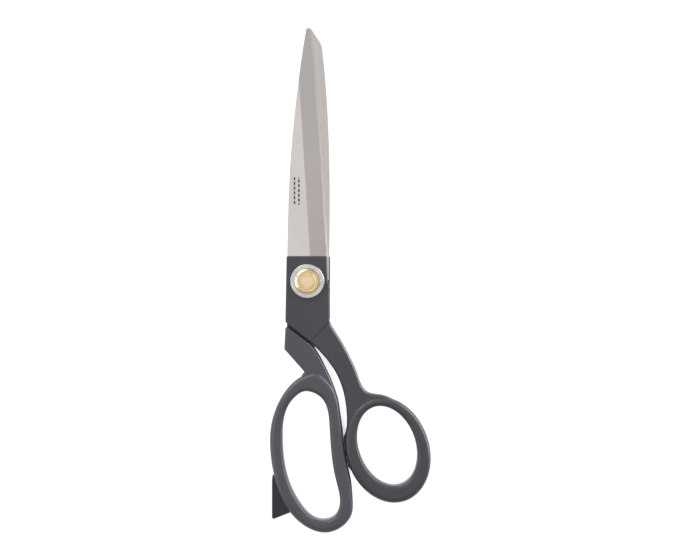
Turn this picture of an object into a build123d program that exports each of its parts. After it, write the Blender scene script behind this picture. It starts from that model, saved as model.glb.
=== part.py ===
from build123d import *
import os

# Bent tailor's shears, closed and lying flat.
# Units are millimetres. The pivot axis is +Z through the origin, the tips point to +Y,
# the thumb bow lies to +X, and z = 0 is the plane that the shears rest on.
# "Front" is the upper member (+Z): its blade cuts to the right and its handle is the thumb bow.
# "Back" is the lower member: its blade cuts to the left and its handle is the finger bow.

# ---- Driving dimensions ----

FRONT = 1
BACK = -1

mating_z = 6.0            # the plane that the two blades slide on
blade_gap = 0.10          # running gap between the two inner faces
steel_t = 2.9             # blade thickness at the boss
tip_t = 1.6               # height of the flat face, extended to the tip
cover_t = 2.0             # casting over the outer face of each blade
bow_t = 12.0              # bow thickness, from the resting plane

sleeve_top_y = 12.6       # where the blades leave the castings
blade_end_y = 128.0       # just past the tips

boss_chamfer = 0.45
boss_corner_r = 0.7
shank_chamfer = 0.9
shank_corner_r = 1.1
bow_outer_r = 2.7
bow_inner_r = 2.0
fin_low_z = 3.0
fin_chamfer = 0.4
fin_tip_r = 1.0
land_low_z = 3.0          # the land where the bows meet

bow_centre = (40.4, -84.9)
bow_radii = (20.9, 27.0)
bow_tilt = 18.5
thumb_hole_centre = (40.1, -82.75)
thumb_hole_radii = (14.3, 20.65)
thumb_hole_tilt = 19.7

edge_h = 0.5              # blade thickness at the edge after the main bevel
hone_h = 0.3              # honed bevel along the cutting edge
hone_w = 0.9
hone_min_length = 110.0   # only the blades' long curves reach this
bevel_overrun = 1.5       # the main bevel's plane runs on past the edge by half its width
waste_h = 6.0             # ground-off metal is modelled this tall, well clear of the blade
waste_half_w = 17.0

pivot_r = 3.5             # smooth part of the pivot screw
pivot_clearance = 0.05
pivot_flat = 2.7          # half the width across the two flats in the back blade
thread_r = 2.5
thread_clearance = 0.03

collar_r = 8.5
collar_t = 0.9
collar_floor = 0.35       # metal left under the screw's head
collar_rim_r = 0.35
collar_bore_chamfer = 0.2
head_r = 6.25
head_gap = 0.25
head_wall = 0.5           # straight side of the head
rim_rise = 0.5            # sloped part of its rim
rim_top_r = 5.3
groove_out_r = 4.9
groove_side = 0.25
groove_depth = 0.25
dome_r = 4.4
dome_rise = 0.45

nut_r = 7.5
nut_t = 1.15
nut_hub_r = 4.2
nut_hub_top = 2.9
nut_blind_z = 0.7         # the nut's closed end
spanner_r = 0.8
spanner_spacing = 10.8
spanner_depth = 0.6
nut_chamfer = 0.3
thread_run_out = 0.2      # space left between the screw's end and the nut's closed end
thread_chamfer = 0.3
key_gap = 0.05            # between the nut's hub and the screw's shoulder
washer_r = 7.4
washer_t = 0.45
spring_t = 0.25
spring_r = (4.4, 7.3)
recess_r = 8.0
recess_floor_z = 2.05
hub_clearance = 0.1

# ---- Heights on the pivot, worked out from the above ----

half_t = blade_gap / 2 + steel_t + cover_t     # from the mating plane to a boss's outer face
shank_low_z = mating_z - half_t
collar_low_z = mating_z + half_t
head_low_z = collar_low_z + collar_floor + pivot_clearance
rim_low_z = head_low_z + head_wall
rim_top_z = rim_low_z + rim_rise
groove_z = rim_top_z - groove_depth
dome_top_z = rim_top_z + dome_rise
key_low_z = nut_hub_top + key_gap
thread_low_z = nut_blind_z + thread_run_out
spring_low_z = nut_t
spring_high_z = recess_floor_z - washer_t
disc_spring_profile = [(spring_r[0], spring_high_z - spring_t), (spring_r[0], spring_high_z),
                       (spring_r[1], spring_low_z + spring_t), (spring_r[1], spring_low_z)]

# ---- Outlines, in plan view ----

front_spine = [(-10.1, sleeve_top_y), (-9.8, 31), (-8.5, 61), (-5.7, 91), (-2.4, 116.3), (-0.85, 126.0)]
front_tip = (0.4, 127.5)
front_edge = [(1.65, 126.2), (2.9, 118), (5.0, 93), (7.2, 65), (8.9, 37), (10.5, sleeve_top_y)]
front_root_corners = [(10.7, sleeve_top_y), (10.7, 0.5), (9.7, 0.5), (9.7, -20), (17, -37),
                      (11.5, -38), (2.8, -29.5), (0.9, -28.4), (-9.5, -20.4), (-9.5, sleeve_top_y)]
front_ridge_x = (1.35, -6.0)
front_edge_x = (10.5, 2.2)

back_spine = [(10.9, sleeve_top_y), (11.2, 38), (10.7, 70), (9.3, 97), (7.3, 117.6)]
back_tip = [(6.5, 120.1), (1.9, 127.1)]
back_point = (1.1, 127.5)
back_edge = [(0.45, 126.6), (-0.9, 118), (-3.6, 93), (-6.0, 65), (-8.0, 37), (-9.6, sleeve_top_y)]
back_root_corners = [(-10.0, sleeve_top_y), (-10.0, 0.5), (-9.2, 0.5), (-9.2, -20.6), (0.4, -28),
                     (9.9, -18.6), (9.9, sleeve_top_y)]
back_ridge_x = (-0.6, 6.9)
back_edge_x = (-9.6, -0.3)

vee_left = (-10.0, -21.6)
vee_tip = (0.9, -30.1)
shoulder_left = (-11.0, -21.9)
shoulder_tip = (0.5, -30.6)
shoulder_slope = (shoulder_tip[0] - shoulder_left[0], shoulder_tip[1] - shoulder_left[1])
crease_right = (11.15, -19.9)
slot_web = [(-0.5, -29.9), (0.5, -29.8), (0.62, -30.2), (3.6, -33.05), (3.1, -34.2), (-0.5, -31.2)]
crease_lap = 0.8          # how far the front boss runs in under the thumb shank's rim
fin_corners = [(-17.6, -97.6), (-17.9, -100), (-17.9, -120), (-8.4, -116.2), (-6, -114), (-13.5, -97)]

os.makedirs("parts", exist_ok=True)


def member_z(member, height):
    """Height above a member's inner face, measured outward, as a z in the frame."""
    return mating_z + member * (blade_gap / 2 + height)


def front_blade_outline():
    with BuildSketch() as outline:
        with BuildLine():
            Spline(*front_spine)
            ThreePointArc(front_spine[-1], front_tip, front_edge[0])
            Spline(*front_edge)
            Polyline(front_edge[-1], *front_root_corners, front_spine[0])
        make_face()
    return outline.sketch


def back_blade_outline():
    with BuildSketch() as outline:
        with BuildLine():
            Spline(*back_spine)
            Polyline(back_spine[-1], *back_tip)
            ThreePointArc(back_tip[-1], back_point, back_edge[0])
            Spline(*back_edge)
            Polyline(back_edge[-1], *back_root_corners, back_spine[0])
        make_face()
    return outline.sketch


def polygon(*corners):
    with BuildSketch() as outline:
        with BuildLine():
            Polyline(*corners, close=True)
        make_face()
    return outline.sketch


def front_boss_outline():
    """The sleeve over the front blade, down to the crease where the thumb shank starts."""
    return polygon(
        (-10.45, sleeve_top_y), (-11.05, -20.2), vee_left, vee_tip, (1.6, -30.5),
        (crease_right[0], crease_right[1] - crease_lap), (11.05, -0.4), (10.3, -0.4),
        (9.9, sleeve_top_y),
    )


def back_boss_outline():
    """The sleeve over the back blade, down to the shoulder where the finger shank starts."""
    return polygon(
        (11.3, sleeve_top_y), (11.3, -18.9), (0.47, -29.7), (0.1, -31.3), (-10.4, -23.5),
        (-10.4, -0.4), (-9.4, -0.4), (-9.4, sleeve_top_y),
    )


def thumb_shank_outline():
    with BuildSketch() as outline:
        with BuildLine():
            outer = Spline(crease_right, (15.5, -27.6), (21, -37.4), (25, -46.2), (27.4, -52.5),
                           (30.5, -55.9), (36.2, -57.1), (41.5, -58.7), (46.2, -61.7),
                           tangents=[(0.35, -1), (1, -0.75)])
            inner = Spline((19.7, -74), (19.6, -64.5), (17.8, -54.5), (13.9, -45.2),
                           (8.2, -37.4), vee_tip)
            Polyline(outer @ 1, (44, -62.4), (36, -60.3), (29.5, -61.8), (24.5, -68), (22.5, -75),
                     inner @ 0)
            Line(inner @ 1, outer @ 0)
        make_face()
    return outline.sketch


def finger_shank_outline():
    with BuildSketch() as outline:
        with BuildLine():
            inner = Spline(shoulder_tip, (4.7, -35.2), (9.9, -44.9), (14.1, -55.1), (16.55, -66.4),
                           (17.8, -75.2), tangents=[shoulder_slope, (0.15, -1)])
            Polyline(inner @ 1, (15.3, -75), (13.2, -63.5), (9, -54.5), (4, -50.5), (-2, -50),
                     (-3, -47.5), (-1.5, -45.5), (-11.6, -34.1), shoulder_left, shoulder_tip)
        make_face()
        fillet(outline.vertices().sort_by(Axis.X)[:2], shank_corner_r)
    return outline.sketch


def closing_land_outline():
    """A flat on the thumb bow's side that follows the finger bow, where the two meet when closed."""
    with BuildSketch() as outline:
        with BuildLine():
            face = Spline((18.2, -78.6), (18.66, -82), (19.17, -86), (19.84, -90), (20.62, -93.4))
            Polyline(face @ 1, (21.9, -95.1), (24, -94), (21, -77), (19.15, -76.2), face @ 0)
        make_face()
    return outline.sketch


def finger_bow_outline():
    with BuildSketch() as outline:
        with BuildLine():
            Spline((2.5, -46), (-6.1, -50), (-14.1, -60.1), (-18.3, -72.7), (-18.7, -85), (-16, -100.5),
                   (-8.6, -116.3), (-0.5, -123.5), (9.1, -126.35), (18.4, -122.6), (22.3, -117),
                   (22.7, -108.5), (22, -101), (19.75, -90.5), (18.25, -80), (16.7, -67.7), (14, -55.3),
                   (9.3, -49), periodic=True)
        make_face()
    return outline.sketch


def finger_hole_outline():
    with BuildSketch() as outline:
        with BuildLine():
            Spline((1, -55.4), (8.3, -60.2), (11.1, -73), (12.6, -91), (14.6, -101), (16.35, -110),
                   (13.8, -118), (6, -119.9), (-3, -112.9), (-9.8, -99.4), (-12.6, -79), (-9.6, -62.5),
                   (-4.5, -56.7), periodic=True)
        make_face()
    return outline.sketch


def ellipse(centre, radii, tilt):
    with BuildSketch() as outline:
        with Locations(centre):
            Ellipse(*radii, rotation=tilt)
    return outline.sketch


def rounded_bow(outer, hole):
    """A ring with well-rounded rims, standing on the resting plane."""
    with BuildPart() as bow:
        with BuildSketch():
            add(outer)
        extrude(amount=bow_t)
        fillet(bow.faces().filter_by(Plane.XY).edges(), bow_outer_r)
        with BuildSketch():
            add(hole)
        extrude(amount=bow_t, mode=Mode.SUBTRACT)
        hole_rims = bow.faces().filter_by(Plane.XY).wires().edges().sort_by(SortBy.LENGTH)[:2]
        fillet(hole_rims, bow_inner_r)
    return bow.part


def shank(outline):
    """A handle's shank: flat on both faces, with its rims chamfered."""
    with BuildPart() as plate:
        with BuildSketch(Plane.XY.offset(shank_low_z)):
            add(outline)
        extrude(amount=2 * (mating_z - shank_low_z))
        chamfer(plate.faces().filter_by(Plane.XY).edges(), shank_chamfer)
    return plate.part


def boss(outline, member):
    """The sleeve around one blade's root, chamfered around its outer face only."""
    with BuildPart() as sleeve:
        with BuildSketch(Plane.XY.offset(member_z(member, 0))):
            add(outline)
        extrude(amount=member * (steel_t + cover_t))
        fillet(sleeve.edges().filter_by(Axis.Z).group_by(Axis.Y)[-1], boss_corner_r)
        outer_face = sleeve.faces().filter_by(Plane.XY).sort_by(Axis.Z)[-1 if member == FRONT else 0]
        chamfer(outer_face.edges(), boss_chamfer)
    return sleeve.part


def fin():
    """The foot beside the finger bow, in line with it, that the shears stand on in use."""
    with BuildPart() as foot:
        with BuildSketch(Plane.XY.offset(fin_low_z)):
            add(polygon(*fin_corners))
        extrude(amount=2 * (mating_z - fin_low_z))
        fillet(foot.edges().filter_by(Axis.Z).sort_by(Axis.Y)[0], fin_tip_r)
        chamfer(foot.faces().filter_by(Plane.XY).edges(), fin_chamfer)
    return foot.part


def taper_section(member):
    """Side view of what thins the blade from the boss to the tip."""
    with BuildSketch(Plane.YZ) as section:
        with BuildLine():
            Polyline(
                (sleeve_top_y, member_z(member, steel_t)),
                (blade_end_y, member_z(member, tip_t)),
                (blade_end_y, member_z(member, waste_h)),
                (sleeve_top_y, member_z(member, waste_h)),
                close=True,
            )
        make_face()
    return section.sketch


def bevel_section(member, y, ridge, edge):
    """Cross-section at one y of what the main bevel takes off, from its ridge past the edge."""
    (ridge_x, ridge_h), (edge_x, edge_top) = ridge, edge
    far_x = ridge_x + bevel_overrun * (edge_x - ridge_x)
    far_h = ridge_h + bevel_overrun * (edge_top - ridge_h)
    with BuildSketch(Plane(origin=(0, y, 0), x_dir=(1, 0, 0), z_dir=(0, -1, 0))) as section:
        with BuildLine():
            Polyline(
                (ridge_x, member_z(member, ridge_h)),
                (far_x, member_z(member, far_h)),
                (far_x, member_z(member, waste_h)),
                (ridge_x, member_z(member, waste_h)),
                close=True,
            )
        make_face()
    return section.sketch


def grind(member, ridge_x, edge_x):
    """Everything that grinding takes off one blade's outer face."""
    with BuildPart() as waste:
        extrude(taper_section(member), amount=waste_half_w, both=True)
        loft(
            [
                bevel_section(member, sleeve_top_y, (ridge_x[0], steel_t), (edge_x[0], edge_h)),
                bevel_section(member, blade_end_y, (ridge_x[1], tip_t), (edge_x[1], edge_h)),
            ],
            ruled=True,
        )
    return waste.part


def hone(blade, member):
    """The narrow honed bevel along a blade's cutting edge, on the outer side."""
    outer_first = Axis((0, 0, 0), (0, 0, -member))
    curves = blade.edges().filter_by(GeomType.BSPLINE)
    long_curves = curves.filter_by(lambda edge: edge.length > hone_min_length)
    edge_side = long_curves.sort_by(Axis((0, 0, 0), (-member, 0, 0)))[:2]
    rim = edge_side.sort_by(outer_first)[0]
    wall = blade.faces().filter_by(lambda face: rim in face.edges()).sort_by(SortBy.AREA)[0]
    chamfer(rim, hone_h, hone_w, reference=wall)


def keyed_section(clearance):
    """The round pivot with two flats, which keeps the screw from turning in the back blade."""
    with BuildSketch() as section:
        Circle(pivot_r + clearance)
        Rectangle(2 * (pivot_flat + clearance), 2 * head_r, mode=Mode.INTERSECT)
    return section.sketch


def screw_profile():
    """Half section of the screw: rimmed head with a groove and a low dome, shank, threaded end."""
    dome_foot_r = dome_r - groove_side
    thread_end_r = thread_r - thread_clearance
    with BuildSketch() as profile:
        with BuildLine():
            TangentArc((0, dome_top_z), (dome_foot_r, rim_top_z), tangent=(1, 0))
            Polyline(
                (dome_foot_r, rim_top_z), (dome_r, groove_z), (groove_out_r - groove_side, groove_z),
                (groove_out_r, rim_top_z), (rim_top_r, rim_top_z), (head_r, rim_low_z),
                (head_r, head_low_z), (pivot_r, head_low_z), (pivot_r, key_low_z),
                (thread_end_r, key_low_z), (thread_end_r, thread_low_z + thread_chamfer),
                (thread_end_r - thread_chamfer, thread_low_z), (0, thread_low_z), (0, dome_top_z),
            )
        make_face()
    return profile.sketch


front_steel = front_blade_outline()
back_steel = back_blade_outline()
front_root = polygon(*front_root_corners)
back_root = polygon(*back_root_corners)
thumb_bow_outline = ellipse(bow_centre, bow_radii, bow_tilt)
thumb_hole_outline = ellipse(thumb_hole_centre, thumb_hole_radii, thumb_hole_tilt)
thumb_bow = rounded_bow(thumb_bow_outline, thumb_hole_outline)
thumb_shank = shank(thumb_shank_outline())
front_boss = boss(front_boss_outline(), FRONT)
finger_bow = rounded_bow(finger_bow_outline(), finger_hole_outline())
finger_shank = shank(finger_shank_outline())
back_boss = boss(back_boss_outline(), BACK)
foot = fin()
front_waste = grind(FRONT, front_ridge_x, front_edge_x)
back_waste = grind(BACK, back_ridge_x, back_edge_x)

# ---- Blades ----

with BuildPart() as front_blade:
    with BuildSketch(Plane.XY.offset(member_z(FRONT, 0))):
        add(front_steel)
        Circle(pivot_r + pivot_clearance, mode=Mode.SUBTRACT)
    extrude(amount=steel_t)
    add(front_waste, mode=Mode.SUBTRACT)
    hone(front_blade, FRONT)
front_blade.part.label = "front_blade"
export_step(front_blade.part, "parts/front_blade.step")

with BuildPart() as back_blade:
    with BuildSketch(Plane.XY.offset(member_z(BACK, 0))):
        add(back_steel)
        add(keyed_section(pivot_clearance), mode=Mode.SUBTRACT)
    extrude(amount=-steel_t)
    add(back_waste, mode=Mode.SUBTRACT)
    hone(back_blade, BACK)
back_blade.part.label = "back_blade"
export_step(back_blade.part, "parts/back_blade.step")

# ---- Handles, cast around the blades' roots ----

with BuildPart() as thumb_handle:
    add(thumb_bow)
    add(thumb_shank)
    add(front_boss)
    with BuildSketch(Plane.XY.offset(land_low_z)):
        add(closing_land_outline())
    extrude(amount=2 * (mating_z - land_low_z))
    with BuildSketch(Plane.XY.offset(member_z(FRONT, 0))):
        add(front_root)
    extrude(amount=steel_t, mode=Mode.SUBTRACT)
    Hole(pivot_r + pivot_clearance)
thumb_handle.part.label = "thumb_handle"
export_step(thumb_handle.part, "parts/thumb_handle.step")

with BuildPart() as finger_handle:
    add(finger_bow)
    add(finger_shank)
    add(back_boss)
    add(foot)
    with BuildSketch(Plane.XY.offset(member_z(BACK, 0))):
        add(polygon(*slot_web))
    extrude(amount=-steel_t)
    with BuildSketch(Plane.XY.offset(member_z(BACK, 0))):
        add(back_root)
    extrude(amount=-steel_t, mode=Mode.SUBTRACT)
    Hole(nut_hub_r + hub_clearance)
    with BuildSketch(Plane.XY.offset(recess_floor_z)):
        Circle(recess_r)
    extrude(amount=-recess_floor_z, mode=Mode.SUBTRACT)
finger_handle.part.label = "finger_handle"
export_step(finger_handle.part, "parts/finger_handle.step")

# ---- Pivot ----

with BuildPart() as pivot_screw:
    with BuildSketch(Plane.XZ):
        add(screw_profile())
    revolve(axis=Axis.Z)
    with BuildSketch(Plane.XY.offset(mating_z)):
        Circle(pivot_r + hub_clearance)
        add(keyed_section(0), mode=Mode.SUBTRACT)
    extrude(amount=-(mating_z - key_low_z), mode=Mode.SUBTRACT)
pivot_screw.part.label = "pivot_screw"
export_step(pivot_screw.part, "parts/pivot_screw.step")

with BuildPart() as collar_ring:
    with BuildSketch(Plane.XY.offset(collar_low_z)):
        Circle(collar_r)
        Circle(pivot_r + pivot_clearance, mode=Mode.SUBTRACT)
    extrude(amount=collar_t)
    with BuildSketch(Plane.XY.offset(collar_low_z + collar_floor)):
        Circle(head_r + head_gap)
    extrude(amount=collar_t, mode=Mode.SUBTRACT)
    top_rims = collar_ring.faces().sort_by(Axis.Z)[-1].edges().sort_by(SortBy.RADIUS)
    fillet(top_rims[-1], collar_rim_r)
    chamfer(top_rims[0], collar_bore_chamfer)
collar_ring.part.label = "collar_ring"
export_step(collar_ring.part, "parts/collar_ring.step")

with BuildPart() as pivot_nut:
    Cylinder(nut_r, nut_t, align=(Align.CENTER, Align.CENTER, Align.MIN))
    chamfer(pivot_nut.edges().sort_by(Axis.Z)[0], nut_chamfer)
    Cylinder(nut_hub_r, nut_hub_top, align=(Align.CENTER, Align.CENTER, Align.MIN))
    with Locations((0, 0, nut_hub_top)):
        Hole(thread_r, depth=nut_hub_top - nut_blind_z)
    with BuildSketch():
        with GridLocations(spanner_spacing, 1, 2, 1):
            Circle(spanner_r)
    extrude(amount=spanner_depth, mode=Mode.SUBTRACT)
pivot_nut.part.label = "pivot_nut"
export_step(pivot_nut.part, "parts/pivot_nut.step")

with BuildPart() as back_washer:
    with BuildSketch(Plane.XY.offset(recess_floor_z - washer_t)):
        Circle(washer_r)
        Circle(nut_hub_r + hub_clearance, mode=Mode.SUBTRACT)
    extrude(amount=washer_t)
back_washer.part.label = "back_washer"
export_step(back_washer.part, "parts/back_washer.step")

with BuildPart() as disc_spring:
    with BuildSketch(Plane.XZ):
        with BuildLine():
            Polyline(*disc_spring_profile, close=True)
        make_face()
    revolve(axis=Axis.Z)
disc_spring.part.label = "disc_spring"
export_step(disc_spring.part, "parts/disc_spring.step")
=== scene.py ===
"""Looks for the bent tailor's shears: materials, studio floor, lights and camera.

Every shown shape is a CAD node. The script gives each one a procedural finish in the frame's
own coordinates (metres, +Z up the pivot, +Y towards the tips).
"""

import math

import bpy
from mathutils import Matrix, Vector


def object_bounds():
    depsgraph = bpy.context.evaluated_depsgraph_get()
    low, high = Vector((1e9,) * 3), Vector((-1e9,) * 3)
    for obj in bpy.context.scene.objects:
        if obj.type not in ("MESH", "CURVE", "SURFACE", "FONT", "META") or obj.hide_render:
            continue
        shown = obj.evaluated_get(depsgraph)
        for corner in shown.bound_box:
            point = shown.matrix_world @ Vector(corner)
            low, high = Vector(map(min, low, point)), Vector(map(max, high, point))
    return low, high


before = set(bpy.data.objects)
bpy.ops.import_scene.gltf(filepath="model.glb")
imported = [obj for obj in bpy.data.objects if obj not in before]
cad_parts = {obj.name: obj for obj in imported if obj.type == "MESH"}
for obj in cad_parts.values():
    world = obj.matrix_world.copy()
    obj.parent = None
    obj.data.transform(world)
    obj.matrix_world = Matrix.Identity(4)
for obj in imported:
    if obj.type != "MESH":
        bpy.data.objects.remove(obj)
cad_low, cad_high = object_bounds()

MM = 0.001

# Colours are linear RGB.
STEEL_FLAT = (0.64, 0.605, 0.575)
# painted shade: greyer steel for the faces where the blades lie on each other
STEEL_INNER_SHADED = (0.505, 0.475, 0.452)
STEEL_BEVEL = (0.585, 0.53, 0.51)
# painted shade: the bevel's colour darkens along the blade towards the tip
STEEL_BEVEL_TIP_SHADED = (0.505, 0.475, 0.472)
STEEL_HONED = (0.63, 0.59, 0.565)
ETCH = (0.11, 0.055, 0.05)
# Both castings carry the same paint; the finger handle's lighter grey below is painted light.
THUMB_PAINT = (0.0395, 0.038, 0.0465)
FINGER_PAINT_PAINTED_LIGHT = (0.055, 0.054, 0.065)
PAINT_WORN = (0.1, 0.1, 0.11)
BRASS_LIGHT = (0.84, 0.65, 0.4)
BRASS_DARK = (0.77, 0.585, 0.33)
NICKEL_LIGHT = (0.66, 0.645, 0.64)
NICKEL_DARK = (0.56, 0.55, 0.55)
SPRING_BLUE = (0.16, 0.17, 0.2)

# painted shade: near-black for the level top of the closing land, where the crevice between the bows
# is shaded
LAND_PAINTED_SHADE = (0.008, 0.008, 0.011)
FLOOR_LOW = (0.25, 0.25, 0.25)
FLOOR_HIGH = (0.275, 0.275, 0.275)

NOISE_ROUGHNESS = 0.55
CLOUDY = (0.3, 0.7)       # the range of noise over which a soft variation runs from none to full

SHEARS_LIE_AT = 0.0
MATING_PLANE = 6.0 * MM   # also the height of the parting line on both castings
LAND_TOP = 9.0 * MM       # the ledge where the thumb bow meets the finger bow
ETCH_ROWS = (-6.5 * MM, -4.3 * MM)
ETCH_ENDS = (38.4 * MM, 52.4 * MM)
BEVEL_SHADE_ENDS = (20 * MM, 120 * MM)

FLOOR_SIZE = 8.0
FLOOR_DROP = 0.05 * MM
FLOOR_GLOW = 0.95
GAP_REACH = 14 * MM       # how far above the floor a gap's sides can darken it
VIEW_WIDTH = 352.8 * MM
LENS = 100.0


class Finish:
    """A material under construction, with short calls for the nodes that it needs."""

    def __init__(self, name, metallic, roughness):
        self.material = bpy.data.materials.new(name)
        self.material.use_nodes = True
        self.tree = self.material.node_tree
        self.shader = self.tree.nodes["Principled BSDF"]
        self.shader.inputs["Metallic"].default_value = metallic
        self.shader.inputs["Roughness"].default_value = roughness
        self.coordinates = self.tree.nodes.new("ShaderNodeTexCoord")

    def link(self, output, socket):
        self.tree.links.new(output, socket)

    def put(self, socket, value):
        """Sets an input socket from another node's output or from a plain number."""
        if isinstance(value, bpy.types.NodeSocket):
            self.link(value, socket)
        else:
            socket.default_value = value

    def math(self, operation, first, second=0.0):
        node = self.tree.nodes.new("ShaderNodeMath")
        node.operation = operation
        for socket, value in zip(node.inputs, (first, second)):
            self.put(socket, value)
        return node.outputs[0]

    def distance(self, value, middle):
        """How far a value is from the middle, on either side."""
        return self.math("ABSOLUTE", self.math("SUBTRACT", value, middle))

    def axis(self, letter, source="Object"):
        node = self.tree.nodes.new("ShaderNodeSeparateXYZ")
        self.link(self.coordinates.outputs[source], node.inputs[0])
        return node.outputs[letter]

    def noise(self, stretch, detail):
        """Noise with so many features per metre along X, Y and Z, from 0 to 1."""
        mapping = self.tree.nodes.new("ShaderNodeMapping")
        mapping.inputs["Scale"].default_value = stretch
        self.link(self.coordinates.outputs["Object"], mapping.inputs["Vector"])
        node = self.tree.nodes.new("ShaderNodeTexNoise")
        node.inputs["Scale"].default_value = 1.0
        node.inputs["Detail"].default_value = detail
        node.inputs["Roughness"].default_value = NOISE_ROUGHNESS
        self.link(mapping.outputs["Vector"], node.inputs["Vector"])
        return node.outputs["Fac"]

    def span(self, value, low, high, to_low=0.0, to_high=1.0):
        """Maps low..high onto to_low..to_high smoothly, and holds the ends."""
        node = self.tree.nodes.new("ShaderNodeMapRange")
        node.interpolation_type = "SMOOTHSTEP"
        for socket, number in zip(node.inputs, (value, low, high, to_low, to_high)):
            self.put(socket, number)
        return node.outputs["Result"]

    def mix(self, factor, first, second):
        node = self.tree.nodes.new("ShaderNodeMix")
        node.data_type = "RGBA"
        self.put(node.inputs["Factor"], factor)
        for socket, value in (("A", first), ("B", second)):
            target = next(s for s in node.inputs if s.name == socket and s.type == "RGBA")
            self.put(target, value if isinstance(value, bpy.types.NodeSocket) else (*value, 1.0))
        return next(s for s in node.outputs if s.type == "RGBA")

    def bump(self, height, depth, strength, under=None):
        node = self.tree.nodes.new("ShaderNodeBump")
        node.inputs["Strength"].default_value = strength
        node.inputs["Distance"].default_value = depth
        self.link(height, node.inputs["Height"])
        if under is not None:
            self.link(under, node.inputs["Normal"])
        return node.outputs["Normal"]

    def radius(self):
        """Distance from the pivot's axis."""
        x, y = self.axis("X"), self.axis("Y")
        squares = self.math("ADD", self.math("MULTIPLY", x, x), self.math("MULTIPLY", y, y))
        return self.math("SQRT", squares)

    def finish(self, colour, roughness=None, normal=None):
        self.put(self.shader.inputs["Base Color"], colour)
        if roughness is not None:
            self.link(roughness, self.shader.inputs["Roughness"])
        if normal is not None:
            self.link(normal, self.shader.inputs["Normal"])
        return self.material


def stitch_mask(steel):
    """A generic etched motif: two short rows of stitches, side by side along the blade."""
    x, y = steel.axis("X"), steel.axis("Y")
    period, dash, width = 2.4 * MM, 1.75 * MM, 0.9 * MM
    low, high = ETCH_ENDS
    soft = 0.12 * MM
    masks = []
    for row, shift in zip(ETCH_ROWS, (0.0, period / 2)):
        shifted = steel.math("ADD", steel.math("SUBTRACT", y, low), shift + period)
        along = steel.math("MODULO", shifted, period)
        in_dash = steel.span(steel.distance(along, period / 2), dash / 2, dash / 2 - soft)
        in_row = steel.span(steel.distance(x, row), width / 2, width / 2 - soft)
        masks.append(steel.math("MULTIPLY", in_dash, in_row))
    both = steel.math("MAXIMUM", masks[0], masks[1])
    middle, reach = (low + high) / 2, (high - low) / 2
    inside = steel.span(steel.distance(y, middle), reach, reach - soft)
    return steel.math("MULTIPLY", both, inside)


def scaled(colour, factor):
    return tuple(factor * channel for channel in colour)


def blade_steel(name, outward, etched=False):
    """Satin steel: smooth flats, bevels ground across the blade, and a bright honed edge.

    The face that slides on the other blade, away from outward (+1 or -1 along Z), is greyer:
    painted shade from the other blade. The bevel is painted a little darker towards the tip, as
    painted shade.
    """
    steel = Finish(name, metallic=1.0, roughness=0.26)
    facing = steel.axis("Z", "Normal")
    up = steel.math("ABSOLUTE", facing)
    flat = steel.span(up, 0.991, 0.999)
    honed = steel.span(up, 0.945, 0.925)
    grind = steel.noise((60, 1900, 60), detail=4.0)
    fine = steel.noise((90, 6000, 90), detail=2.0)
    cloud = steel.noise((70, 45, 70), detail=2.0)
    bevel_colour = steel.mix(steel.span(grind, *CLOUDY), STEEL_BEVEL, scaled(STEEL_BEVEL, 1.09))
    # Painted shade: the bevel's colour darkens towards the tip, as the light along the blade falls
    # off.
    tipward_shade = steel.span(steel.axis("Y"), *BEVEL_SHADE_ENDS)
    bevel_colour = steel.mix(tipward_shade, bevel_colour, STEEL_BEVEL_TIP_SHADED)
    flat_colour = steel.mix(steel.span(cloud, *CLOUDY), STEEL_FLAT, scaled(STEEL_FLAT, 0.95))
    colour = steel.mix(flat, bevel_colour, flat_colour)
    colour = steel.mix(honed, colour, STEEL_HONED)
    # Painted shade: the face that slides on the other blade gets a greyer steel, as the other blade
    # shades it.
    inner = steel.span(steel.math("MULTIPLY", facing, -outward), 0.99, 0.999)
    drawn = steel.noise((2400, 14, 60), detail=2.0)
    inner_shaded_colour = steel.mix(steel.span(drawn, *CLOUDY), STEEL_INNER_SHADED, scaled(STEEL_INNER_SHADED, 1.07))
    colour = steel.mix(inner, colour, inner_shaded_colour)
    if etched:
        outer_side = steel.span(steel.math("MULTIPLY", facing, outward), 0.0, 0.5)
        colour = steel.mix(steel.math("MULTIPLY", stitch_mask(steel), outer_side), colour, ETCH)
    lines = steel.math("ADD", grind, fine)
    depth = steel.bump(lines, 0.003 * MM, 0.4)
    smoothness = steel.math("ADD", flat, steel.math("MULTIPLY", cloud, 0.4))
    roughness = steel.span(smoothness, 0.0, 1.4, 0.3, 0.22)
    return steel.finish(colour, roughness, depth)


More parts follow.
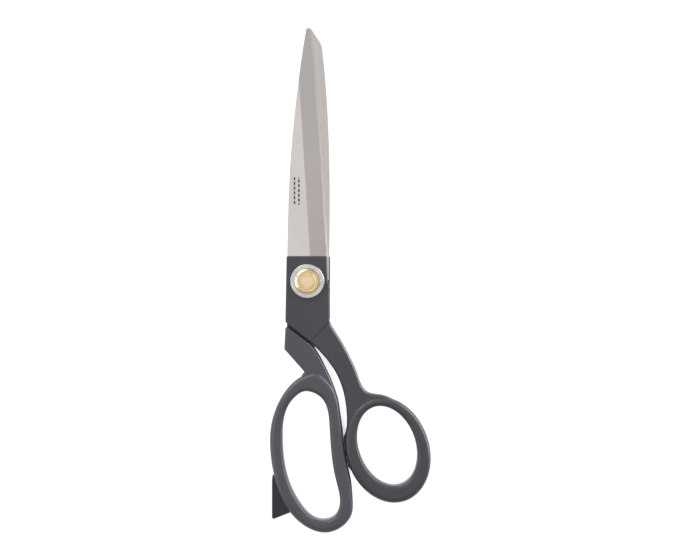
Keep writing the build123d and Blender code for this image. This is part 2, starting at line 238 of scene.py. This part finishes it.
def handle_paint(name, base_colour):
    """Dark grey baked enamel on a casting: slight orange peel, a parting line, rubbed edges.

    The closing land, which only the thumb handle has, is painted dark: painted shade for the crevice
    where the bows meet.
    """
    paint = Finish(name, metallic=0.0, roughness=0.36)
    peel = paint.noise((900, 900, 900), detail=2.0)
    grain = paint.noise((5200, 5200, 5200), detail=1.0)
    cloud = paint.noise((38, 38, 38), detail=3.0)
    rounded = paint.tree.nodes.new("ShaderNodeBevel")
    rounded.samples = 8
    rounded.inputs["Radius"].default_value = 0.3 * MM
    apart = paint.tree.nodes.new("ShaderNodeVectorMath")
    apart.operation = "DOT_PRODUCT"
    geometry = paint.tree.nodes.new("ShaderNodeNewGeometry")
    paint.link(rounded.outputs["Normal"], apart.inputs[0])
    paint.link(geometry.outputs["True Normal"], apart.inputs[1])
    edge = paint.span(apart.outputs["Value"], 0.985, 0.9)
    rub = paint.span(paint.noise((260, 260, 260), detail=5.0), 0.46, 0.66)
    worn = paint.math("MULTIPLY", edge, paint.math("MULTIPLY", rub, 0.3))
    base = paint.mix(paint.span(cloud, *CLOUDY), base_colour, scaled(base_colour, 1.16))
    colour = paint.mix(worn, base, PAINT_WORN)
    # Painted shade: the level top of the closing land is darkened as the crevice between the bows
    # would be shaded.
    at_land = paint.span(paint.distance(paint.axis("Z"), LAND_TOP), 0.2 * MM, 0.1 * MM)
    level = paint.span(paint.axis("Z", "Normal"), 0.9, 0.98)
    colour = paint.mix(paint.math("MULTIPLY", at_land, level), colour, LAND_PAINTED_SHADE)
    line = paint.span(paint.distance(paint.axis("Z"), MATING_PLANE), 0.28 * MM, 0.08 * MM)
    texture = paint.math("ADD", peel, paint.math("MULTIPLY", grain, 0.15))
    skin = paint.bump(texture, 0.02 * MM, 0.45, rounded.outputs["Normal"])
    normal = paint.bump(line, 0.06 * MM, 0.6, skin)
    roughness = paint.span(cloud, *CLOUDY, 0.33, 0.41)
    return paint.finish(colour, roughness, normal)


def turned_metal(name, light, dark, ring_pitch, roughness):
    """Metal turned on a lathe: fine rings about the pivot's axis, with a faint cloudy tarnish."""
    metal = Finish(name, metallic=1.0, roughness=roughness)
    rings = metal.math("SINE", metal.math("MULTIPLY", metal.radius(), 2 * math.pi / ring_pitch))
    cloud = metal.noise((330, 330, 330), detail=4.0)
    grain = metal.noise((2600, 2600, 2600), detail=2.0)
    colour = metal.mix(metal.span(cloud, 0.34, 0.68), light, dark)
    height = metal.math("ADD", rings, metal.math("MULTIPLY", grain, 0.8))
    normal = metal.bump(height, 0.0022 * MM, 0.5)
    return metal.finish(colour, metal.span(cloud, *CLOUDY, roughness, roughness + 0.09), normal)


def finish_node(node, material):
    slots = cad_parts[node].data.materials
    for index in range(len(slots)):
        slots[index] = material


def finish_nodes():
    finish_node("front_blade", blade_steel("front_blade_finish", outward=1, etched=True))
    finish_node("back_blade", blade_steel("back_blade_finish", outward=-1))
    finish_node("thumb_handle", handle_paint("thumb_handle_finish", THUMB_PAINT))
    # Painted light: the finger handle gets a lighter grey than the thumb handle's.
    finish_node("finger_handle", handle_paint("finger_handle_finish", FINGER_PAINT_PAINTED_LIGHT))
    finish_node("pivot_screw", turned_metal("brass_finish", BRASS_LIGHT, BRASS_DARK, 0.34 * MM, 0.2))
    nickel = turned_metal("nickel_finish", NICKEL_LIGHT, NICKEL_DARK, 0.3 * MM, 0.28)
    finish_node("collar_ring", nickel)
    finish_node("pivot_nut", nickel)
    finish_node("back_washer", nickel)
    finish_node("disc_spring", turned_metal("spring_finish", SPRING_BLUE, NICKEL_DARK, 0.4 * MM, 0.35))


def studio_floor():
    """A white sweep that glows, as a lit backdrop does, except at the bottom of very narrow gaps."""
    height = SHEARS_LIE_AT - FLOOR_DROP
    bpy.ops.mesh.primitive_plane_add(size=FLOOR_SIZE, location=(0, 0, height))
    floor = bpy.context.active_object
    floor.name = "studio_floor"
    white = Finish("floor_finish", metallic=0.0, roughness=0.7)
    speckle = white.noise((9, 9, 9), detail=2.0)
    colour = white.mix(speckle, FLOOR_LOW, FLOOR_HIGH)
    white.shader.inputs["Emission Color"].default_value = (1.0, 1.0, 1.0, 1.0)
    sky = white.tree.nodes.new("ShaderNodeAmbientOcclusion")
    sky.samples = 16
    sky.inputs["Distance"].default_value = GAP_REACH
    glow = white.span(sky.outputs["AO"], 0.0, 0.04, 0.0, FLOOR_GLOW)
    white.link(glow, white.shader.inputs["Emission Strength"])
    floor.data.materials.append(white.finish(colour))


def softbox(name, place, size, radiance):
    """A rectangular soft light aimed at the pivot, width by height, with its face's brightness."""
    light = bpy.data.lights.new(name, "AREA")
    light.shape = "RECTANGLE"
    light.size, light.size_y = size
    light.energy = radiance * math.pi * size[0] * size[1]
    lamp = bpy.data.objects.new(name, light)
    lamp.location = place
    lamp.rotation_euler = (-Vector(place)).to_track_quat("-Z", "Y").to_euler()
    bpy.context.scene.collection.objects.link(lamp)


def studio_lights():
    world = bpy.data.worlds.new("studio")
    world.use_nodes = True
    background = world.node_tree.nodes["Background"]
    background.inputs["Color"].default_value = (0.98, 0.99, 1.0, 1.0)
    background.inputs["Strength"].default_value = 0.5
    bpy.context.scene.world = world
    softbox("overhead", (-0.05, 0.05, 1.9), (1.6, 1.6), 0.52)
    softbox("above_tips", (-0.85, 1.25, 0.6), (1.5, 0.6), 5.6)
    softbox("right_side", (1.3, 0.6, 0.17), (1.5, 0.32), 16.0)
    softbox("left_side", (-1.15, -0.1, 0.85), (1.0, 0.5), 3.0)


def overhead_camera():
    """Straight above the shears, with the tips up in the frame."""
    look_at = Vector((21.4 * MM, 0.6 * MM, 0.0))
    data = bpy.data.cameras.new("overhead_camera")
    data.lens = LENS
    camera = bpy.data.objects.new("overhead_camera", data)
    subject_z = (cad_low.z + cad_high.z) / 2
    distance = VIEW_WIDTH * LENS / data.sensor_width
    camera.location = (look_at.x, look_at.y, subject_z + distance)
    bpy.context.scene.collection.objects.link(camera)
    bpy.context.scene.camera = camera


bpy.context.scene.view_settings.view_transform = "Standard"
overhead_camera()
finish_nodes()
studio_floor()
studio_lights()
